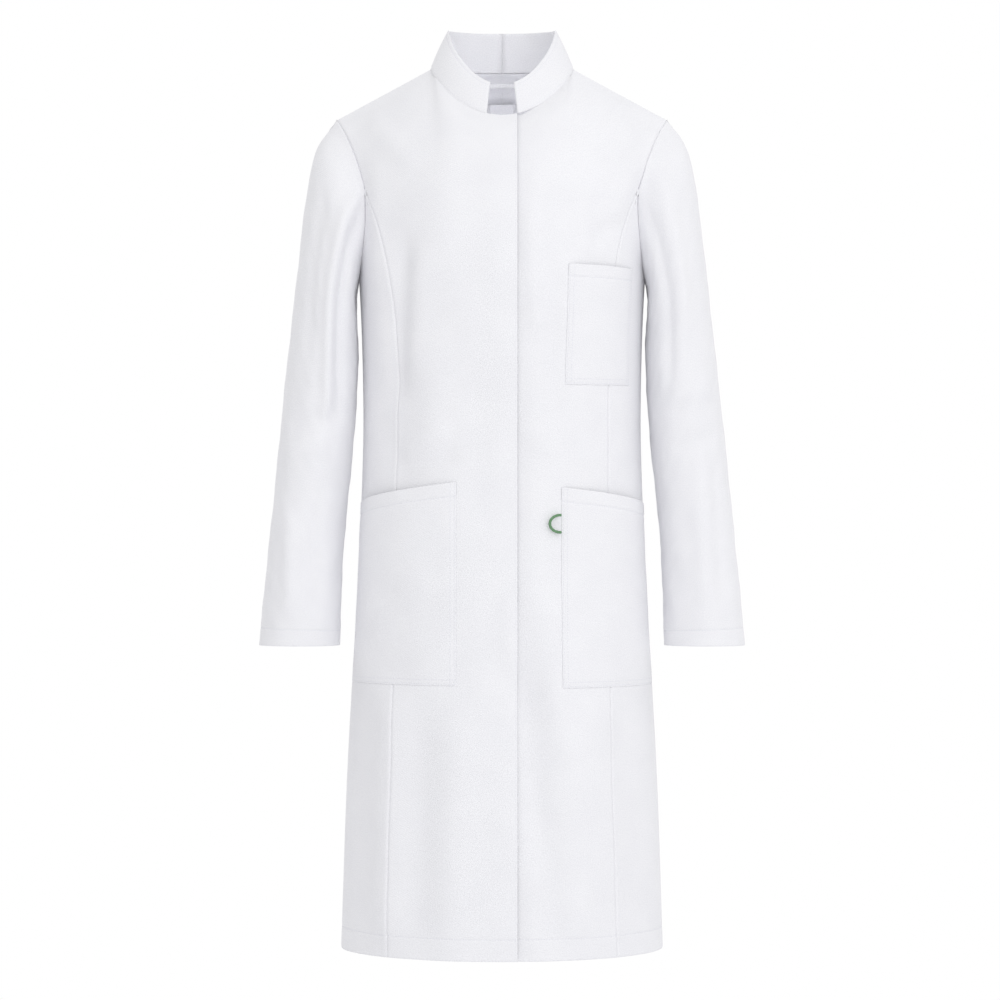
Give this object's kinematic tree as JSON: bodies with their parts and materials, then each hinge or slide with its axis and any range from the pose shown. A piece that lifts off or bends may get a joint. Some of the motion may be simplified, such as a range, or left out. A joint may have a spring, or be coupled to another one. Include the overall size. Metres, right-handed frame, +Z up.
{
  "type": "lab coat",
  "caption": "Long white lab coat with a stand collar, concealed press-stud front, two lower patch pockets, a chest pocket and a small green cord loop.",
  "frame": {"origin": "centre of the neck opening, level with the neck ends of the shoulder seams, where the coat is held", "axes": "+Z up, the front faces -Y, +X towards the wearer's left"},
  "size_m": [0.552, 0.2749, 1.0491],
  "materials": {
    "twill": "matte",
    "inner_twill": "matte",
    "interlining": "matte",
    "label_satin": "satin",
    "green_cord": "matte",
    "stud_metal": "satin"
  },
  "bodies": {
    "coat_body": {"right_back": "twill", "left_back": "twill", "right_side_back": "twill", "left_side_back": "twill", "right_side_front": "twill", "left_side_front": "twill", "right_shoulder_front": "twill", "left_shoulder_front": "twill", "right_fold": "twill", "left_fold": "twill", "back_collar_outer": "twill", "back_collar_inner": "inner_twill", "collar_interlining": "interlining", "back_neck_facing": "inner_twill", "neck_label": "label_satin", "hanger_loop": "twill", "right_pocket_side": "twill", "left_pocket_side": "twill", "chest_pocket_side": "twill"},
    "right_opening": {"right_front": "twill", "right_facing": "inner_twill", "fly_strip": "inner_twill", "stud_caps": "stud_metal", "stud_sockets": "stud_metal", "right_collar_outer": "twill", "right_collar_inner": "inner_twill", "right_pocket": "twill"},
    "left_opening": {"left_front": "twill", "left_facing": "inner_twill", "studs": "stud_metal", "stud_rings": "stud_metal", "left_collar_outer": "twill", "left_collar_inner": "inner_twill", "left_pocket": "twill", "chest_pocket": "twill"},
    "right_arm": {"right_sleeve": "twill"},
    "left_arm": {"left_sleeve": "twill"},
    "loop_flap": {"pocket_loop": "green_cord"}
  },
  "joints": [
    {"name": "right_front_open", "type": "hinge", "parent": "coat_body", "child": "right_opening", "pos_m": [-0.08, -0.066, -0.02], "axis": [-0.0394, -0.0393, -0.9984], "range_deg": [0, 40], "deforming": ["right_fold"]},
    {"name": "left_front_open", "type": "hinge", "parent": "coat_body", "child": "left_opening", "pos_m": [0.08, -0.066, -0.02], "axis": [-0.0394, 0.0393, 0.9984], "range_deg": [0, 18], "deforming": ["left_fold"]},
    {"name": "right_sleeve_raise", "type": "hinge", "parent": "coat_body", "child": "right_arm", "pos_m": [-0.186, 0, -0.05], "axis": [0, 1, 0], "range_deg": [0, 30]},
    {"name": "left_sleeve_raise", "type": "hinge", "parent": "coat_body", "child": "left_arm", "pos_m": [0.186, 0, -0.05], "axis": [0, -1, 0], "range_deg": [0, 30]},
    {"name": "pocket_loop_swing", "type": "hinge", "parent": "left_opening", "child": "loop_flap", "pos_m": [0.0621, -0.1113, -0.519], "axis": [0, 0, 1], "range_deg": [0, 60]}
  ],
  "couplings": [
    {"joint": "left_front_open", "follows": "right_front_open", "ratio": 0.45}
  ]
}
